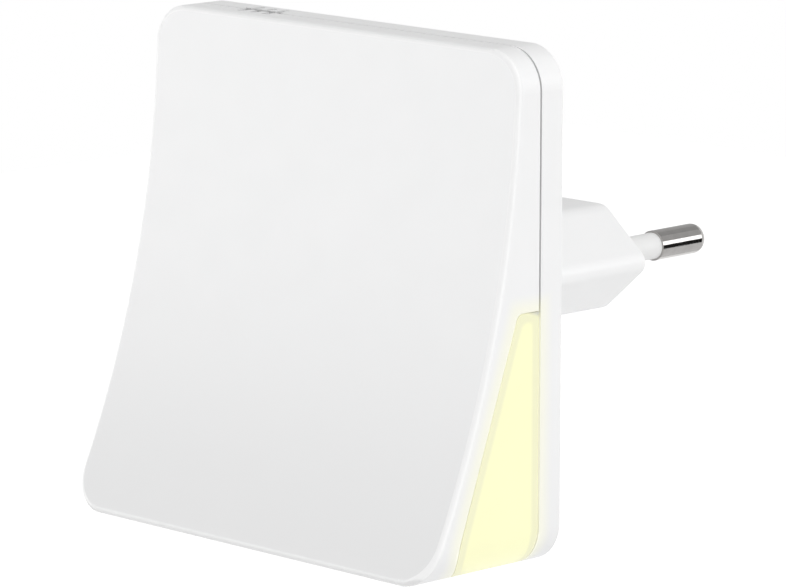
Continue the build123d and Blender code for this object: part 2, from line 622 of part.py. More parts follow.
def moulded_part(x, z, length, width, height, legs):
    """Moulded semiconductor with flat legs: `legs` is a list of (side, offset, leg width)."""
    case = block(x, z, BOARD_FRONT + CASE_LIFT, length, width, height - CASE_LIFT)
    case = chamfer(case.faces().sort_by(Axis.Y)[0].edges(), CASE_CHAMFER)
    for side, offset, leg_width in legs:
        leg_z = z + side * (width + LEG_REACH - LEG_ROOT) / 2
        case += block(
            x + offset, leg_z, BOARD_FRONT, leg_width, LEG_REACH + LEG_ROOT, LEG_THICKNESS
        )
    return case


def bridge_rectifier():
    """Four-legged bridge rectifier."""
    reach = BRIDGE_PITCH / 2
    legs = [(side, offset, BRIDGE_LEG_WIDTH) for side in (-1, 1) for offset in (-reach, reach)]
    return moulded_part(0, -BRIDGE_DROP, BRIDGE_WIDTH, BRIDGE_LENGTH, BRIDGE_HEIGHT, legs)


def zener_diode():
    """Zener diode that limits the supply voltage."""
    legs = [(-1, 0, ZENER_LEG_WIDTH), (1, 0, ZENER_LEG_WIDTH)]
    return moulded_part(ZENER_X, -ZENER_DROP, ZENER_WIDTH, ZENER_LENGTH, ZENER_HEIGHT, legs)


def switching_transistor():
    """Three-legged transistor that turns the lamps on in the dark."""
    legs = [
        (side, offset, TRANSISTOR_LEG_WIDTH)
        for side, offset in ((1, 0), (-1, -TRANSISTOR_PITCH / 2), (-1, TRANSISTOR_PITCH / 2))
    ]
    return moulded_part(
        TRANSISTOR_X, -TRANSISTOR_DROP,
        TRANSISTOR_LENGTH, TRANSISTOR_WIDTH, TRANSISTOR_HEIGHT, legs,
    )


def light_sensor():
    """Side-looking phototransistor on the board's top edge, its lens facing up."""
    z = BOARD_TOP_Z - SENSOR_HEIGHT / 2
    body = block(SENSOR_X, z, BOARD_FRONT, SENSOR_WIDTH, SENSOR_HEIGHT, SENSOR_THICKNESS)
    lens = Pos(SENSOR_X, -BOARD_FRONT - SENSOR_THICKNESS / 2, BOARD_TOP_Z) * Sphere(SENSOR_LENS / 2)
    return body + lens


# ---------------------------------------------------------------- fasteners
def screw(x, z, seat, length, toward_room):
    """Pan-head screw with a cross recess; its shank runs from `seat`."""
    turn = 1 if toward_room else -1
    shank = rod(x, z, seat, seat + turn * length, SCREW_SHANK)
    head = rod(x, z, seat - turn * SCREW_HEAD_HEIGHT, seat, SCREW_HEAD)
    rim = head.edges().sort_by(Axis.Y)[-1 if toward_room else 0]
    head = fillet(rim, SCREW_HEAD_ROUNDING)
    top = seat - turn * SCREW_HEAD_HEIGHT
    for wide, high in (
        (SCREW_SOCKET, SCREW_SOCKET_WIDTH), (SCREW_SOCKET_WIDTH, SCREW_SOCKET)
    ):
        head -= block(x, z, top, wide, high, turn * SCREW_SOCKET_DEPTH)
    return head + shank


def housing_screws():
    """Four screws that hold the shells together from behind."""
    return Compound([
        screw(x, z, SCREW_SEAT, HOUSING_SCREW_LENGTH, True) for x, z in HOUSING_SCREWS
    ])


def board_screws():
    """Two screws that hold the board on its posts."""
    return Compound([
        screw(x, z, BOARD_FRONT, BOARD_SCREW_LENGTH, False) for x, z in BOARD_SCREWS
    ])


# ---------------------------------------------------------------- the assembly
NODES = {
    "front_cover": front_cover(),
    "rear_cover": rear_cover(),
    "light_diffuser": light_diffuser(),
    "light_reflector": light_reflector(),
    "light_pipe": light_pipe(),
    "pin_retainer": pin_retainer(),
    "circuit_board": circuit_board(),
    "dropper_capacitor": dropper_capacitor(),
    "smoothing_capacitor": smoothing_capacitor(),
    "fusible_resistor": fusible_resistor(),
    "bleed_resistor": chip_resistor(BLEED_X, BLEED_HEIGHT),
    "bias_resistor": chip_resistor(BIAS_X, BOARD_TOP_Z - BIAS_BELOW_EDGE),
    "bridge_rectifier": bridge_rectifier(),
    "zener_diode": zener_diode(),
    "switching_transistor": switching_transistor(),
    "light_sensor": light_sensor(),
    "housing_screws": housing_screws(),
    "board_screws": board_screws(),
}
for side, name in ((-1, "left"), (1, "right")):
    NODES[f"plug_pin_{name}"] = plug_pin(side)
    NODES[f"pin_sleeve_{name}"] = pin_sleeve(side)
    NODES[f"lead_wire_{name}"] = lead_wire(side)
    NODES[f"led_resistor_{name}"] = chip_resistor(side * LED_RESISTOR_SPAN / 2, -LED_RESISTOR_DROP)
    NODES[f"upper_led_{name}"] = light_emitting_diode(side * LED_SPAN / 2, -UPPER_LED_DROP)
    NODES[f"lower_led_{name}"] = light_emitting_diode(side * LED_SPAN / 2, -LOWER_LED_DROP)

os.makedirs("parts", exist_ok=True)
for name, shape in NODES.items():
    export_step(shape, f"parts/{name}.step")
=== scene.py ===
import json
from math import cos, hypot, pi, radians, sin

import bmesh
import bpy
from mathutils import Matrix, Vector


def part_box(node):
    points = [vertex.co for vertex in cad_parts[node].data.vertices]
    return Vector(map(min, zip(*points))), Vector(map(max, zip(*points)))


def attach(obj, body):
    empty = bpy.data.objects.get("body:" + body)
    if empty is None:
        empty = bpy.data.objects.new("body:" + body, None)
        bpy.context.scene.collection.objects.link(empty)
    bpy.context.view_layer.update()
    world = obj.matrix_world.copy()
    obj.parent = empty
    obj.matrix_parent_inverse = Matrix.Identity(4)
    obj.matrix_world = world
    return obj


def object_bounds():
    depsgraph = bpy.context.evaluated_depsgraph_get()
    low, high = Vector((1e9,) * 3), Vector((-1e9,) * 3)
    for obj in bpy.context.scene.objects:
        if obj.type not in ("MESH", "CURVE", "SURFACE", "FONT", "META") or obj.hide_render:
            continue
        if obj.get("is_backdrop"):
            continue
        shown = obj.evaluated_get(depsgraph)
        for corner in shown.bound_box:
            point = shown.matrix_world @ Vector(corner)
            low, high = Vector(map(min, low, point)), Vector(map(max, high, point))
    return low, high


# Looks of the plug-in night light, in metres, in the part's own frame: the origin is the centre
# of the plug's end face, +Y runs into the wall, -Y into the room, +Z is up and +X is to the right
# for someone who faces the light. A "depth" is a distance from that end face towards the room.

MM = 0.001
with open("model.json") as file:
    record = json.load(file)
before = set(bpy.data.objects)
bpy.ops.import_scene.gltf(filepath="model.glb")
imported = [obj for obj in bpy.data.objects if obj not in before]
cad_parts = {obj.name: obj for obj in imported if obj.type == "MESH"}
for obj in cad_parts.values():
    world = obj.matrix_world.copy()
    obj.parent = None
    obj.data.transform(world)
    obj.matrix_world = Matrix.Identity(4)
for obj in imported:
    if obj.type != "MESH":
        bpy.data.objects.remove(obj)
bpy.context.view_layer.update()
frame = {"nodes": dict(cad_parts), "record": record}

# ---------------------------------------------------------------- places on the object
BACK = 31.85 * MM                   # depth of the housing's back face
SEAM = BACK + 4.04 * MM             # depth of the joint between the shells
HOUSING_BOTTOM, HOUSING_TOP = (corner.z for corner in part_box("rear_cover"))
HOUSING_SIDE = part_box("rear_cover")[1].x
WINDOW_TOP = HOUSING_BOTTOM + 32.4 * MM
WINDOW_FOOT = HOUSING_BOTTOM - 1.0 * MM     # where the rounding of its lower front corner ends
WINDOW_FOOT_CORNER = 4.9 * MM       # radius of that rounding
WINDOW_TOP_CORNER = 1.4 * MM        # softness of the outline's upper corners
WINDOW_REAR_CORNER = 0.5 * MM
WINDOW_TOP_DEPTH = BACK + 7.85 * MM         # the window's slanted front edge, at its top
WINDOW_BOTTOM_DEPTH = BACK + 19.45 * MM     # the same edge, drawn on to the underside
WINDOW_SLANT = (WINDOW_BOTTOM_DEPTH - WINDOW_TOP_DEPTH) / (WINDOW_TOP - HOUSING_BOTTOM)
SLOTS_MIDDLE = -17.0 * MM           # X of the sensor's slots in the top, which straddle the joint
SLOTS_HALF_WIDTH = 4.0 * MM         # from there past the outermost slot
SLOTS_HALF_LENGTH = 2.6 * MM        # from the joint past the slots' ends
SLOTS_FLOOR = HOUSING_TOP - 5.0 * MM
GAP_BAND = 0.3 * MM                 # the gap's walls lie this near to the window's outline
JOINT_BAND = 0.3 * MM               # the joint's walls lie this near to its middle
SKIN = 0.02 * MM                    # what lies deeper than this is a wall and no outer face
SOFT = 0.1 * MM                     # width over which a mask fades out
BOARD_FRONT = -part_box("circuit_board")[0].y
LEADS_START = 14.0 * MM             # the wires' jackets lie between these two depths
LEADS_END = -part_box("circuit_board")[1].y - 1.0 * MM
CAN_TOP = -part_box("smoothing_capacitor")[1].y
CAN_STRIPE = 2.2 * MM               # Z at which the pale stripe on the can starts
RESISTOR_LENGTH = 9.0 * MM
LED_RIM = 0.45 * MM
LED_RECESS = 0.25 * MM
PHOSPHOR_RISE = 0.1 * MM

# ---------------------------------------------------------------- colours, linear
SHELL = (0.885, 0.885, 0.885)
SHELL_COOL = (0.878, 0.880, 0.883)
# painted shade: the shell's colour darkens towards the housing's foot
SHELL_FOOT_SHADE = (0.850, 0.851, 0.852)   # at the foot of the housing
# painted shade on the rounding under the front face
SHELL_UNDER_SHADE = (0.790, 0.790, 0.790)
# painted glow: a yellow tint where the shell looks lit from inside
SHELL_GLOW = (0.905, 0.900, 0.785)  # where the shell is lit from inside, beside the window
# painted highlight on the rounding round the front face
SHELL_EDGE_HIGHLIGHT = (0.960, 0.960, 0.960)
# painted shade on the walls of the sensor's slots
SLOT_SHADE = (0.36, 0.36, 0.36)
MILK_CORE = (0.89, 0.885, 0.565)
# painted shade along the window's edges
MILK_EDGE_SHADE = (0.835, 0.83, 0.575)
# painted shade under the window's top edge, deepest at its rear corner
MILK_SHADE = (0.60, 0.60, 0.54)
GAP_WALL = (0.84, 0.84, 0.80)       # the window's own side of the thin gap round it
NICKEL = (0.475, 0.463, 0.452)
TINNED = (0.62, 0.61, 0.60)
ZINC = (0.55, 0.56, 0.58)
ALUMINIUM = (0.7, 0.7, 0.71)
SOLDER_MASK = (0.035, 0.20, 0.075)
MASK_ON_COPPER = (0.06, 0.33, 0.13)
CAN_DARK = (0.02, 0.025, 0.05)
CAN_PALE = (0.42, 0.44, 0.5)
LACQUER = (0.22, 0.36, 0.40)
CODE_RINGS = (                      # start of each ring along X, and its colour
    (-2.9 * MM, (0.45, 0.28, 0.02)),
    (-1.6 * MM, (0.22, 0.05, 0.4)),
    (-0.3 * MM, (0.02, 0.02, 0.02)),
    (2.4 * MM, (0.5, 0.36, 0.08)),
)
RING_WIDTH = 0.75 * MM
GLAZE = (0.018, 0.018, 0.02)
EPOXY = (0.02, 0.02, 0.021)
PHOSPHOR = (0.95, 0.78, 0.14)
PHOSPHOR_DEEP = (0.82, 0.6, 0.06)
PHOSPHOR_LIGHT = (1.0, 0.86, 0.42)

# ---------------------------------------------------------------- light through the plastic, painted on as glow
LAMP_LIGHT = (1.0, 0.97, 0.58)
LEAKED_LIGHT = (1.0, 0.97, 0.75)    # the same light once it has been through the shell
# painted glow on the walls of the gap round the window, in this colour
GAP_LIGHT = (0.98, 0.97, 1.0)       # on the walls of the thin gap round the window
# painted light: the window's glow is raised towards its foot, against the shade there
MILK_STRENGTH = 0.08                # the window's own light, which grows towards its foot
MILK_FOOT_STRENGTH = 0.15
CLOUD_STRENGTH = 0.03               # how much that light varies from place to place
SHELL_STRENGTH = 0.03               # on the shell right beside the window
MILK_GAP_STRENGTH = 0.24            # on the two sides of the gap round the window
SHELL_GAP_STRENGTH = 0.28
# painted light on the walls of the joint along the top
JOINT_STRENGTH = 0.11               # on the walls of the joint along the top
SHELL_ROUGHNESS = (0.285, 0.345)    # below 0.28 the denoiser leaves patches on the shells


def dimmed(colour, share):
    """The same hue at `share` of its brightness."""
    return tuple(channel * share for channel in colour)


# ---------------------------------------------------------------- node materials
class Paint:
    """A node material in the making. Each method adds nodes and returns their output."""

    def __init__(self, name, **finish):
        self.material = bpy.data.materials.new(name)
        self.material.use_nodes = True
        self.tree = self.material.node_tree
        self.shader = self.tree.nodes["Principled BSDF"]
        self.place = self.node("ShaderNodeTexCoord").outputs["Object"]
        self.finish(**finish)

    def put(self, value, socket):
        """Links an output to a socket, or sets the socket to a plain value."""
        if isinstance(value, bpy.types.NodeSocket):
            self.tree.links.new(value, socket)
        elif hasattr(value, "__len__") and len(value) == 3 and socket.type == "RGBA":
            socket.default_value = (*value, 1.0)
        else:
            socket.default_value = value

    def node(self, kind, inputs=(), **settings):
        """One node; `inputs` maps the names or numbers of its sockets to values or outputs."""
        node = self.tree.nodes.new(kind)
        for key, value in settings.items():
            setattr(node, key, value)
        for key, value in dict(inputs).items():
            self.put(value, node.inputs[key])
        return node

    def math(self, operation, *values):
        return self.node("ShaderNodeMath", dict(enumerate(values)), operation=operation).outputs[0]

    def times(self, first, *others):
        for other in others:
            first = self.math("MULTIPLY", first, other)
        return first

    def minus(self, value, other):
        return self.math("SUBTRACT", value, other)

    def away(self, value, middle=0.0):
        """How far `value` is from `middle`, to either side."""
        return self.math("ABSOLUTE", self.minus(value, middle))

    def blend(self, share, low, high):
        """Value between `low` and `high`; mix() does this for colours."""
        return self.math("MULTIPLY_ADD", share, self.minus(high, low), low)

    def component(self, vector, letter):
        return self.node("ShaderNodeSeparateXYZ", {0: vector}).outputs[letter]

    def axis(self, letter):
        """Row-frame X, Y or Z of the shaded point."""
        return self.component(self.place, letter)

    def depth(self):
        return self.times(self.axis("Y"), -1.0)

    def facing(self, letter):
        """Row-frame X, Y or Z of the surface's normal."""
        return self.component(self.node("ShaderNodeTexCoord").outputs["Normal"], letter)

    def facing_room(self):
        """One where the surface faces the room, zero on the sides, the top and the underside."""
        return self.fade(self.times(self.facing("Y"), -1.0), 0.20, 0.35)

    def stretch(self, x, y, z):
        """Place on the object with each axis scaled, so that a texture is drawn out along one."""
        inputs = {0: self.place, 1: (x, y, z)}
        return self.node("ShaderNodeVectorMath", inputs, operation="MULTIPLY").outputs[0]

    def noise(self, size, detail=2.0, vector=None):
        """Noise whose blotches are about `size` metres across."""
        inputs = {"Vector": vector or self.place, "Scale": 1 / size, "Detail": detail}
        return self.node("ShaderNodeTexNoise", inputs).outputs[0]

    def fade(self, value, start, end, low=0.0, high=1.0):
        """`low` up to `start`, then a smooth change to `high` at `end`."""
        inputs = {0: value, 1: start, 2: end, 3: low, 4: high}
        return self.node("ShaderNodeMapRange", inputs, interpolation_type="SMOOTHSTEP").outputs[0]

    def patchy(self, size, low, high):
        """Value that wanders between `low` and `high` in patches about `size` metres across."""
        return self.fade(self.noise(size), 0.3, 0.7, low, high)

    def mix(self, share, a, b):
        return self.node("ShaderNodeMix", {0: share, 6: a, 7: b}, data_type="RGBA").outputs[2]

    def bump(self, height, depth, below=None):
        """Surface relief `depth` metres deep, on top of the relief `below`."""
        inputs = {"Height": height, "Distance": depth, "Strength": 1.0}
        if below is not None:
            inputs["Normal"] = below
        return self.node("ShaderNodeBump", inputs).outputs[0]

    def finish(self, **sockets):
        """Puts values on the shader, then returns the material."""
        for name, value in sockets.items():
            self.put(value, self.shader.inputs[name.replace("_", " ")])
        return self.material


# ---------------------------------------------------------------- places on the shells
def rounding_middle():
    """Depth and Z of the middle of the rounding between the window's slanted edge and its foot."""
    z = WINDOW_FOOT + WINDOW_FOOT_CORNER
    edge_depth = WINDOW_TOP_DEPTH + (WINDOW_TOP - z) * WINDOW_SLANT
    return edge_depth - WINDOW_FOOT_CORNER * hypot(1, WINDOW_SLANT), z


def window_reach(paint):
    """Distance inside the light window's outline seen from the side; below zero outside it."""
    depth, z = paint.depth(), paint.axis("Z")
    below_top = paint.minus(WINDOW_TOP, z)
    edge_depth = paint.math("MULTIPLY_ADD", below_top, WINDOW_SLANT, WINDOW_TOP_DEPTH)
    behind_edge = paint.times(paint.minus(edge_depth, depth), 1 / hypot(1, WINDOW_SLANT))
    sharp_foot = paint.math("MINIMUM", behind_edge, paint.minus(z, WINDOW_FOOT))

    middle_depth, middle_z = rounding_middle()
    ahead = paint.minus(depth, middle_depth)
    above = paint.minus(z, middle_z)
    down_edge = paint.minus(paint.times(ahead, WINDOW_SLANT), above)
    in_corner = paint.times(
        paint.math("GREATER_THAN", down_edge, 0), paint.math("GREATER_THAN", ahead, 0)
    )
    squares = paint.math("MULTIPLY_ADD", ahead, ahead, paint.times(above, above))
    round_foot = paint.minus(WINDOW_FOOT_CORNER, paint.math("SQRT", squares))

    lower = paint.blend(in_corner, sharp_foot, round_foot)
    from_joint = paint.minus(depth, SEAM)
    below = paint.math("SMOOTH_MIN", lower, from_joint, WINDOW_REAR_CORNER)
    return paint.math("SMOOTH_MIN", below, below_top, WINDOW_TOP_CORNER)


def gap_walls(paint, reach):
    """Share of painted glow on the walls of the thin gap round the window, for the lamps' light that
    comes out of it; zero elsewhere.

    It is brightest high up along the slanted front edge, and dimmer at the foot, under the top
    edge and along the joint behind the window.
    """
    z = paint.axis("Z")
    sunk = paint.minus(HOUSING_SIDE, paint.away(paint.axis("X")))
    ring = paint.times(
        paint.fade(sunk, SKIN, SKIN + SOFT),
        paint.fade(reach, -GAP_BAND - SOFT, -GAP_BAND),
        paint.fade(reach, GAP_BAND, GAP_BAND - SOFT),
    )
    foot = (HOUSING_BOTTOM + 2.0 * MM, HOUSING_BOTTOM + 8.0 * MM)
    in_front = paint.times(
        paint.fade(z, WINDOW_TOP - 27.0 * MM, WINDOW_TOP - 4.0 * MM, 0.65, 1.0),
        paint.fade(z, *foot, 0.2, 1.0),
    )
    behind = paint.fade(z, *foot, 0.34, 0.55)
    ahead = paint.fade(paint.depth(), SEAM + 1.0 * MM, SEAM + 3.0 * MM)
    under_top = paint.fade(z, WINDOW_TOP - 0.2 * MM, WINDOW_TOP - 1.2 * MM, 0.5, 1.0)
    return paint.times(ring, under_top, paint.blend(ahead, behind, in_front))


def slot_walls(paint):
    """One on the walls of the sensor's slots, which get painted shade; zero elsewhere."""
    z = paint.axis("Z")
    from_middle = paint.away(paint.axis("X"), SLOTS_MIDDLE)
    from_joint = paint.away(paint.depth(), SEAM)
    return paint.times(
        paint.fade(z, HOUSING_TOP - 0.15 * MM, HOUSING_TOP - 0.5 * MM),
        paint.fade(z, SLOTS_FLOOR, SLOTS_FLOOR + 2 * SOFT),
        paint.fade(from_middle, SLOTS_HALF_WIDTH, SLOTS_HALF_WIDTH - 2 * SOFT),
        paint.fade(from_joint, SLOTS_HALF_LENGTH, SLOTS_HALF_LENGTH - 2 * SOFT),
    )


def top_joint_light(paint):
    """One on the walls of the joint along the top, which are lit with painted light so that they
    don't read as a dark line.
    """
    z = paint.axis("Z")
    from_slots = paint.away(paint.axis("X"), SLOTS_MIDDLE)
    return paint.times(
        paint.fade(paint.away(paint.depth(), SEAM), JOINT_BAND + SOFT / 2, JOINT_BAND),
        paint.fade(from_slots, SLOTS_HALF_WIDTH, SLOTS_HALF_WIDTH + 2 * SOFT),
        paint.fade(z, HOUSING_TOP - 0.01 * MM, HOUSING_TOP - 0.06 * MM),
        paint.fade(z, HOUSING_TOP - 0.45 * MM, HOUSING_TOP - 0.25 * MM),
    )


def front_arris_highlight(paint):
    """One on the sides and top of the rounding round the front face, where a whiter colour paints its
    highlight.
    """
    across = paint.away(paint.facing("X"))
    upward = paint.facing("Z")
    at_side = paint.times(paint.fade(across, 0.03, 0.12), paint.fade(across, 0.95, 0.85))
    at_top = paint.times(
        paint.fade(upward, 0.08, 0.18),
        paint.fade(upward, 0.72, 0.60),
        paint.fade(paint.axis("Z"), HOUSING_TOP - 1.6 * MM, HOUSING_TOP - 1.2 * MM),
    )
    return paint.times(paint.facing_room(), paint.math("MAXIMUM", at_side, at_top))


def lower_arris_shade(paint):
    """One on the rounding along the front face's lower edge, which turns away from the light; it gets
    painted shade.
    """
    downward = paint.times(paint.facing("Z"), -1.0)
    return paint.times(
        paint.facing_room(),
        paint.fade(downward, -0.25, 0.1),
        paint.fade(downward, 0.9, 0.7),
        paint.fade(paint.axis("Z"), HOUSING_BOTTOM + 1.6 * MM, HOUSING_BOTTOM + 1.0 * MM),
    )


# ---------------------------------------------------------------- the materials
def shell_white():
    """Satin white moulding with painted light and shade: a glow of the lamps' light through the wall
    beside and round the window, light in the top joint, a highlight on the front rounding, and shade
    at the foot, under the front face and in the sensor's slots.
    """
    paint = Paint("shell_white", IOR=1.49)
    reach = window_reach(paint)
    # painted glow beside the window, in colour and in emission
    glow = paint.fade(reach, -2.6 * MM, 0.0)
    gap = gap_walls(paint, reach)
    joint = top_joint_light(paint)
    # painted shade, growing towards the housing's foot
    low = paint.fade(paint.axis("Z"), HOUSING_BOTTOM + 24 * MM, HOUSING_BOTTOM)
    colour = paint.mix(paint.noise(18 * MM), SHELL_COOL, SHELL)
    for place, other in (
        (low, SHELL_FOOT_SHADE),
        (front_arris_highlight(paint), SHELL_EDGE_HIGHLIGHT),
        (lower_arris_shade(paint), SHELL_UNDER_SHADE),
        (slot_walls(paint), SLOT_SHADE),
        (glow, SHELL_GLOW),
    ):
        colour = paint.mix(place, colour, other)
    strength = paint.times(glow, SHELL_STRENGTH)
    for place, share in ((gap, SHELL_GAP_STRENGTH), (joint, JOINT_STRENGTH)):
        strength = paint.math("MULTIPLY_ADD", place, share, strength)
    grain = paint.bump(paint.noise(0.35 * MM, 3.0), 0.0009 * MM)
    return paint.finish(
        Base_Color=colour,
        Emission_Color=paint.mix(paint.math("MAXIMUM", gap, joint), LEAKED_LIGHT, GAP_LIGHT),
        Emission_Strength=strength,
        Roughness=paint.patchy(4 * MM, *SHELL_ROUGHNESS),
        Normal=paint.bump(paint.noise(14 * MM), 0.004 * MM, grain),
    )


def diffuser_milk():
    """Milky plastic lit from inside, with painted shade along its edges, where the frame shades it,
    and under its top edge; more light is painted on towards its foot.
    """
    paint = Paint("diffuser_milk", IOR=1.49, Roughness=0.38)
    z = paint.axis("Z")
    reach = window_reach(paint)
    gap = gap_walls(paint, reach)
    core = paint.fade(reach, 0.85 * MM, 1.6 * MM)
    from_joint = paint.minus(paint.depth(), SEAM)
    from_corner = paint.math("MULTIPLY_ADD", from_joint, 0.35, paint.minus(WINDOW_TOP, z))
    # painted shade under the top edge, deepest towards the joint
    shade = paint.fade(from_corner, 1.0 * MM, 0.2 * MM)
    colour = paint.mix(core, MILK_EDGE_SHADE, MILK_CORE)
    for place, other in ((shade, MILK_SHADE), (gap, GAP_WALL)):
        colour = paint.mix(place, colour, other)
    even = paint.fade(
        z, HOUSING_BOTTOM + 4.5 * MM, HOUSING_BOTTOM + 1.5 * MM, MILK_STRENGTH, MILK_FOOT_STRENGTH
    )
    strength = paint.times(
        paint.math("MULTIPLY_ADD", paint.noise(7 * MM), CLOUD_STRENGTH, even),
        paint.fade(core, 0.0, 1.0, 0.6, 1.0),
        paint.minus(1.0, shade),
    )
    return paint.finish(
        Base_Color=colour,
        Emission_Color=paint.mix(gap, LAMP_LIGHT, GAP_LIGHT),
        Emission_Strength=paint.math("MULTIPLY_ADD", gap, MILK_GAP_STRENGTH, strength),
        Normal=paint.bump(paint.noise(0.3 * MM, 3.0), 0.001 * MM),
    )


def pin_nickel():
    """Polished nickel plate with fine turning and plugging scratches along the pin."""
    paint = Paint("pin_nickel", Metallic=1.0)
    scratches = paint.noise(0.12 * MM, 4.0, paint.stretch(1.0, 0.05, 1.0))
    dents = paint.noise(0.5 * MM)
    worn = paint.fade(paint.noise(1.6 * MM, 3.0), 0.35, 0.75)
    return paint.finish(
        Base_Color=paint.mix(worn, NICKEL, dimmed(NICKEL, 0.93)),
        Roughness=paint.fade(scratches, 0.25, 0.8, 0.05, 0.11),
        Normal=paint.bump(scratches, 0.0006 * MM, paint.bump(dents, 0.003 * MM)),
    )


def moulded(name, colour, roughness, shade, **finish):
    """Plain moulded or lacquered surface: cloudy colour, uneven gloss and a fine grain."""
    paint = Paint(name, **finish)
    return paint.finish(
        Base_Color=paint.mix(paint.noise(5 * MM, 3.0), dimmed(colour, shade), colour),
        Roughness=paint.patchy(1.5 * MM, roughness * 0.88, roughness * 1.12),
        Normal=paint.bump(paint.noise(0.3 * MM, 3.0), 0.002 * MM),
    )


def screw_steel():
    """Zinc-plated steel, brushed round by turning."""
    paint = Paint("screw_steel", Metallic=1.0)
    streaks = paint.noise(0.15 * MM, 3.0, paint.stretch(1.0, 6.0, 1.0))
    return paint.finish(
        Base_Color=paint.mix(paint.noise(2 * MM), dimmed(ZINC, 0.85), ZINC),
        Roughness=paint.fade(streaks, 0.2, 0.8, 0.29, 0.44),
        Normal=paint.bump(streaks, 0.002 * MM),
    )


def board_laminate():
    """Green solder mask over copper tracks, on woven glass."""
    paint = Paint("board_laminate", IOR=1.5)
    cells = paint.node(
        "ShaderNodeTexVoronoi", {"Vector": paint.place, "Scale": 1 / (6 * MM)},
        feature="DISTANCE_TO_EDGE", distance="CHEBYCHEV",
    )
    tracks = paint.fade(cells.outputs["Distance"], 0.06, 0.09)
    warp = paint.noise(0.5 * MM, 1.0, paint.stretch(1.0, 1.0, 0.2))
    weft = paint.noise(0.5 * MM, 1.0, paint.stretch(0.2, 1.0, 1.0))
    weave = paint.math("ADD", warp, weft)
    return paint.finish(
        Base_Color=paint.mix(tracks, SOLDER_MASK, MASK_ON_COPPER),
        Roughness=paint.fade(weave, 0.7, 1.3, 0.28, 0.4),
        Normal=paint.bump(tracks, 0.03 * MM, paint.bump(weave, 0.01 * MM)),
    )


def can_sleeve():
    """Electrolytic can: dark shrunk sleeve with a pale stripe, bare aluminium on its end."""
    paint = Paint("can_sleeve")
    stripe = paint.fade(paint.axis("Z"), CAN_STRIPE, CAN_STRIPE + 2 * SOFT)
    bare = paint.fade(paint.depth(), CAN_TOP + 0.15 * MM, CAN_TOP + 0.05 * MM)
    return paint.finish(
        Base_Color=paint.mix(bare, paint.mix(stripe, CAN_DARK, CAN_PALE), ALUMINIUM),
        Metallic=bare,
        Roughness=paint.patchy(0.8 * MM, 0.22, 0.36),
        Normal=paint.bump(paint.noise(0.4 * MM), 0.004 * MM),
    )


def resistor_coating():
    """Lacquered resistor body with its code rings and tinned leads."""
    paint = Paint("resistor_coating")
    along = paint.axis("X")
    soft = SOFT / 2
    colour = LACQUER
    for start, ring in CODE_RINGS:
        end = start + RING_WIDTH
        band = paint.times(paint.fade(along, start, start + soft), paint.fade(along, end, end - soft))
        colour = paint.mix(band, colour, ring)
    lead = paint.fade(paint.away(along), RESISTOR_LENGTH / 2, RESISTOR_LENGTH / 2 + soft)
    return paint.finish(
        Base_Color=paint.mix(lead, colour, TINNED),
        Metallic=lead,
        Roughness=paint.patchy(0.7 * MM, 0.3, 0.45),
        Normal=paint.bump(paint.noise(0.5 * MM), 0.006 * MM),
    )


def chip_black():
    """Glazed chip resistor with tinned ends."""
    paint = Paint("chip_black")
    along = paint.component(paint.node("ShaderNodeTexCoord").outputs["Generated"], "X")
    end = paint.fade(paint.away(along, 0.5), 0.33, 0.35)
    return paint.finish(
        Base_Color=paint.mix(end, GLAZE, TINNED),
        Metallic=end,
        Roughness=paint.patchy(0.5 * MM, 0.25, 0.4),
        Normal=paint.bump(paint.noise(0.2 * MM), 0.003 * MM),
    )


def moulding_black():
    """Black epoxy case on tinned legs."""
    paint = Paint("moulding_black")
    leg = paint.fade(paint.depth(), BOARD_FRONT + 0.24 * MM, BOARD_FRONT + 0.2 * MM)
    return paint.finish(
        Base_Color=paint.mix(leg, EPOXY, TINNED),
        Metallic=leg,
        Roughness=paint.patchy(0.4 * MM, 0.45, 0.6),
        Normal=paint.bump(paint.noise(0.12 * MM, 3.0), 0.006 * MM),
    )


def wire(name, colour):
    """Wire with a smooth jacket; its stripped ends are tinned copper."""
    paint = Paint(name)
    jacket = paint.times(
        paint.fade(paint.depth(), LEADS_START, LEADS_START + SOFT),
        paint.fade(paint.depth(), LEADS_END, LEADS_END - SOFT),
    )
    strands = paint.noise(0.1 * MM, 2.0, paint.stretch(1.0, 0.3, 1.0))
    return paint.finish(
        Base_Color=paint.mix(jacket, TINNED, paint.mix(strands, dimmed(colour, 0.85), colour)),
        Metallic=paint.minus(1.0, jacket),
        Roughness=paint.patchy(1.2 * MM, 0.3, 0.42),
        Normal=paint.bump(strands, 0.004 * MM),
    )


def phosphor():
    """Yellow silicone that shines where the lamp's chip lies under it."""
    paint = Paint("phosphor", Roughness=0.35)
    grain = paint.noise(0.12 * MM, 3.0)
    return paint.finish(
        Base_Color=paint.mix(grain, PHOSPHOR_DEEP, PHOSPHOR),
        Emission_Color=PHOSPHOR_LIGHT,
        Emission_Strength=paint.fade(grain, 0.2, 0.8, 1.6, 2.2),
        Normal=paint.bump(grain, 0.004 * MM),
    )


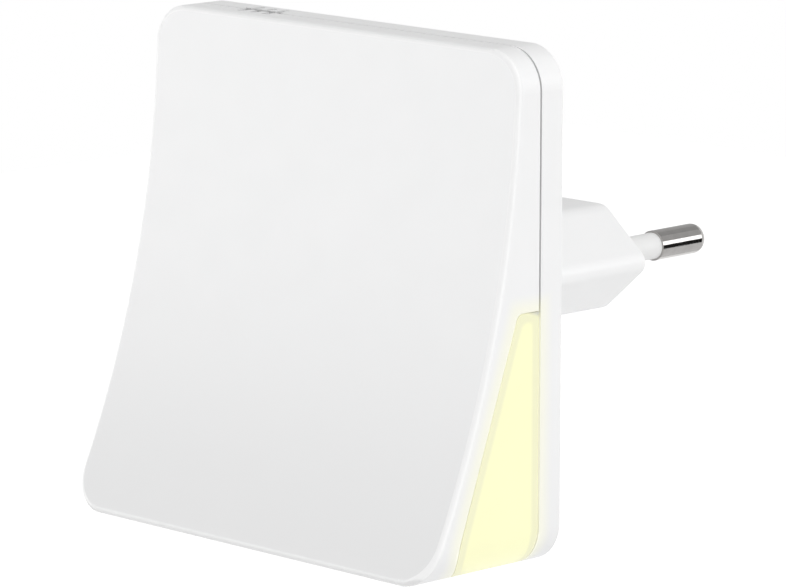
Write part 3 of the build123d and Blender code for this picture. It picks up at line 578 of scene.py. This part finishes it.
MATERIALS = {
    "shell_white": shell_white(),
    "diffuser_milk": diffuser_milk(),
    "pin_nickel": pin_nickel(),
    "sleeve_white": moulded("sleeve_white", (0.80, 0.80, 0.795), roughness=0.42, shade=0.98),
    "screw_steel": screw_steel(),
    "reflector_white": moulded("reflector_white", (0.9, 0.9, 0.89), roughness=0.7, shade=0.97),
    "clear_plastic": moulded(
        "clear_plastic", (0.95, 0.98, 0.98), roughness=0.06, shade=0.98,
        Transmission_Weight=1.0, IOR=1.49,
    ),
    "inner_plastic": moulded("inner_plastic", (0.66, 0.66, 0.63), roughness=0.5, shade=0.93),
    "board_laminate": board_laminate(),
    "capacitor_case": moulded("capacitor_case", (0.72, 0.5, 0.05), roughness=0.38, shade=0.9),
    "can_sleeve": can_sleeve(),
    "resistor_coating": resistor_coating(),
    "chip_black": chip_black(),
    "moulding_black": moulding_black(),
    "sensor_tint": moulded("sensor_tint", (0.045, 0.03, 0.045), roughness=0.15, shade=0.8),
    "led_frame": moulded("led_frame", (0.86, 0.85, 0.8), roughness=0.45, shade=0.95),
    "wire_blue": wire("wire_blue", (0.02, 0.07, 0.42)),
    "wire_brown": wire("wire_brown", (0.13, 0.045, 0.015)),
}
for part in frame["record"]["subparts"]:
    slots = frame["nodes"][part["node"]].data.materials
    slots.clear()
    slots.append(MATERIALS[part["material_slot"]])


# ---------------------------------------------------------------- lamps' phosphor
def domed_patch(name, low, high, rise, material):
    """Rounded cushion of silicone in a recess: `low` and `high` bound it, it bulges towards -Y."""
    steps = 12
    mesh = bpy.data.meshes.new(name)
    shape = bmesh.new()
    grid = bmesh.ops.create_grid(shape, x_segments=steps, y_segments=steps, size=0.5)
    middle = (low + high) / 2
    half = (high - low) / 2
    for vertex in grid["verts"]:
        u, v = vertex.co.x * 2, vertex.co.y * 2
        bulge = (1 - u**4) * (1 - v**4)
        vertex.co = (middle.x + u * half.x, low.y - rise * bulge, middle.z + v * half.z)
    shape.to_mesh(mesh)
    shape.free()
    mesh.shade_smooth()
    mesh.materials.append(material)
    patch = bpy.data.objects.new(name, mesh)
    bpy.context.scene.collection.objects.link(patch)
    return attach(patch, "root")


phosphor_material = phosphor()
for level in ("upper", "lower"):
    for hand in ("left", "right"):
        low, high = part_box(f"{level}_led_{hand}")
        recess_y = low.y + LED_RECESS
        domed_patch(
            f"{level}_led_phosphor_{hand}",
            Vector((low.x + LED_RIM, recess_y - PHOSPHOR_RISE, low.z + LED_RIM)),
            Vector((high.x - LED_RIM, recess_y, high.z - LED_RIM)),
            PHOSPHOR_RISE, phosphor_material,
        )


# ---------------------------------------------------------------- stage
FLOOR_LEVEL = -1.25                 # well under the light, which hangs on a wall socket
FLOOR_SIZE = 12.0
FLOOR_PALE = (0.82, 0.82, 0.82)
FLOOR_DULL = (0.80, 0.80, 0.80)
FLOOR_WHITENING = (0.55, 0.55, 0.55)        # what brings the floor to white for the eye
ROOM = 1.5                          # distance of the lamps and cards from the light
ROOM_LIGHT = 0.675                  # strength of the even light from all round


def direction(azimuth, elevation):
    """Unit vector from the object towards a place round it; azimuth 0 is the room, 90 is +X."""
    a, e = radians(azimuth), radians(elevation)
    return Vector((sin(a) * cos(e), -cos(a) * cos(e), sin(e)))


def softbox(name, azimuth, elevation, width, height, radiance):
    """Rectangular lamp that faces the object and that the camera doesn't see."""
    data = bpy.data.lights.new(name, "AREA")
    data.shape = "RECTANGLE"
    data.size, data.size_y = width, height
    data.energy = radiance * width * height * pi
    lamp = bpy.data.objects.new(name, data)
    bpy.context.scene.collection.objects.link(lamp)
    lamp.location = direction(azimuth, elevation) * ROOM
    lamp.rotation_mode = "QUATERNION"
    lamp.rotation_quaternion = lamp.location.to_track_quat("Z", "Y")
    lamp.visible_camera = False


def seen_or_mirrored(tree):
    """One where the camera, a mirror or a clear piece looks, and zero for the light on a surface."""
    rays = tree.nodes.new("ShaderNodeLightPath")
    seen = rays.outputs["Is Camera Ray"]
    for other in ("Is Glossy Ray", "Is Transmission Ray"):
        either = tree.nodes.new("ShaderNodeMath")
        either.operation = "MAXIMUM"
        tree.links.new(seen, either.inputs[0])
        tree.links.new(rays.outputs[other], either.inputs[1])
        seen = either.outputs[0]
    return seen


def make_floor():
    """Large pale floor; white to the eye, less the shadow that falls on it."""
    bpy.ops.mesh.primitive_plane_add(size=FLOOR_SIZE, location=(0, 0, FLOOR_LEVEL))
    floor = bpy.context.object
    floor.name = "floor"
    paint = Paint("floor", Roughness=0.9)
    paint.finish(Base_Color=paint.mix(paint.noise(40 * MM), FLOOR_DULL, FLOOR_PALE))
    white = paint.node(
        "ShaderNodeEmission", {"Color": FLOOR_WHITENING, "Strength": seen_or_mirrored(paint.tree)}
    )
    both = paint.node("ShaderNodeAddShader", {0: paint.shader.outputs[0], 1: white.outputs[0]})
    paint.put(both.outputs[0], paint.tree.nodes["Material Output"].inputs["Surface"])
    floor.data.materials.append(paint.material)
    floor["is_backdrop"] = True


def make_card(name, low, high, shade, away=ROOM):
    """Flat card behind the object that only mirrors in it, from corner (x, z) to corner (x, z)."""
    mesh = bpy.data.meshes.new(name)
    places = ((low[0], low[1]), (high[0], low[1]), (high[0], high[1]), (low[0], high[1]))
    mesh.from_pydata([(x, away, z) for x, z in places], [], [(0, 1, 2, 3)])
    card = bpy.data.objects.new(name, mesh)
    bpy.context.scene.collection.objects.link(card)
    paint = Paint(name)
    glow = paint.node("ShaderNodeEmission", {"Color": (shade, shade, shade)})
    paint.put(glow.outputs[0], paint.tree.nodes["Material Output"].inputs["Surface"])
    mesh.materials.append(paint.material)
    card.visible_camera = False
    card.visible_diffuse = False
    card.visible_shadow = False
    card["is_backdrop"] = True


def make_world(level):
    """Even soft light from all round; white where the camera or a mirror looks."""
    world = bpy.data.worlds.new("studio")
    bpy.context.scene.world = world
    world.use_nodes = True
    tree = world.node_tree
    strength = tree.nodes.new("ShaderNodeMapRange")
    tree.links.new(seen_or_mirrored(tree), strength.inputs["Value"])
    strength.inputs["To Min"].default_value = level
    strength.inputs["To Max"].default_value = 1.0
    background = tree.nodes["Background"]
    background.inputs["Color"].default_value = (1.0, 1.0, 1.0, 1.0)
    tree.links.new(strength.outputs[0], background.inputs["Strength"])


def make_lamps():
    """Lamps by their place round the object in degrees, their size in metres and their radiance."""
    softbox("front_softbox", azimuth=-45, elevation=-7.5, width=1.0, height=1.05, radiance=2.16)
    softbox("edge_softbox", azimuth=4, elevation=-10, width=0.15, height=0.8, radiance=0.9)
    softbox("side_softbox", azimuth=85, elevation=0, width=0.9, height=1.5, radiance=1.70)
    softbox("rim_softbox", azimuth=141.7, elevation=10.1, width=0.25, height=0.46, radiance=2.1)
    softbox("top_softbox", azimuth=115, elevation=55, width=1.0, height=1.0, radiance=1.35)


def make_cards():
    """Grey cards behind the object, which the plug's pin mirrors between the lamps."""
    make_card("upper_card", low=(-0.65, 0.9), high=(0.30, 2.6), shade=0.48)
    make_card("near_card", low=(0.30, 0.60), high=(1.6, 2.6), shade=0.62)
    make_card("left_card", low=(-2.6, -0.05), high=(-0.65, 2.6), shade=0.55)
    make_card("gap_card", low=(0.85, -0.64), high=(1.7, 0.05), shade=0.02)
    make_card("lower_card", low=(-0.30, -1.20), high=(1.35, -0.512), shade=0.91, away=1.2)


make_floor()
make_world(ROOM_LIGHT)
make_lamps()
make_cards()


# ---------------------------------------------------------------- camera
CAMERA_AZIMUTH = 45.62
CAMERA_ELEVATION = 10.52
CAMERA_ROLL = 0.12
CAMERA_DISTANCE = 674.1 * MM
CAMERA_AIM = Vector((-2.18, -26.63, -3.18)) * MM
SENSOR_WIDTH = 36.0
IMAGE_WIDTH = 786
FOCAL_PIXELS = 5263


def make_camera():
    """Long lens that looks down at the front and its right side."""
    data = bpy.data.cameras.new("camera")
    data.sensor_width = SENSOR_WIDTH
    data.sensor_fit = "HORIZONTAL"
    data.lens = SENSOR_WIDTH * FOCAL_PIXELS / IMAGE_WIDTH
    data.clip_start, data.clip_end = 0.05, 20.0
    camera = bpy.data.objects.new("camera", data)
    bpy.context.scene.collection.objects.link(camera)
    back = direction(CAMERA_AZIMUTH, CAMERA_ELEVATION)
    right = Vector((0, 0, 1)).cross(back).normalized()
    up = back.cross(right)
    turn = radians(CAMERA_ROLL)
    rolled_right = right * cos(turn) + up * sin(turn)
    rolled_up = up * cos(turn) - right * sin(turn)
    axes = Matrix((rolled_right, rolled_up, back)).transposed()
    camera.matrix_world = Matrix.Translation(CAMERA_AIM + back * CAMERA_DISTANCE) @ axes.to_4x4()
    bpy.context.scene.camera = camera


make_camera()
bpy.context.scene.view_settings.view_transform = "Standard"

low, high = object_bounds()
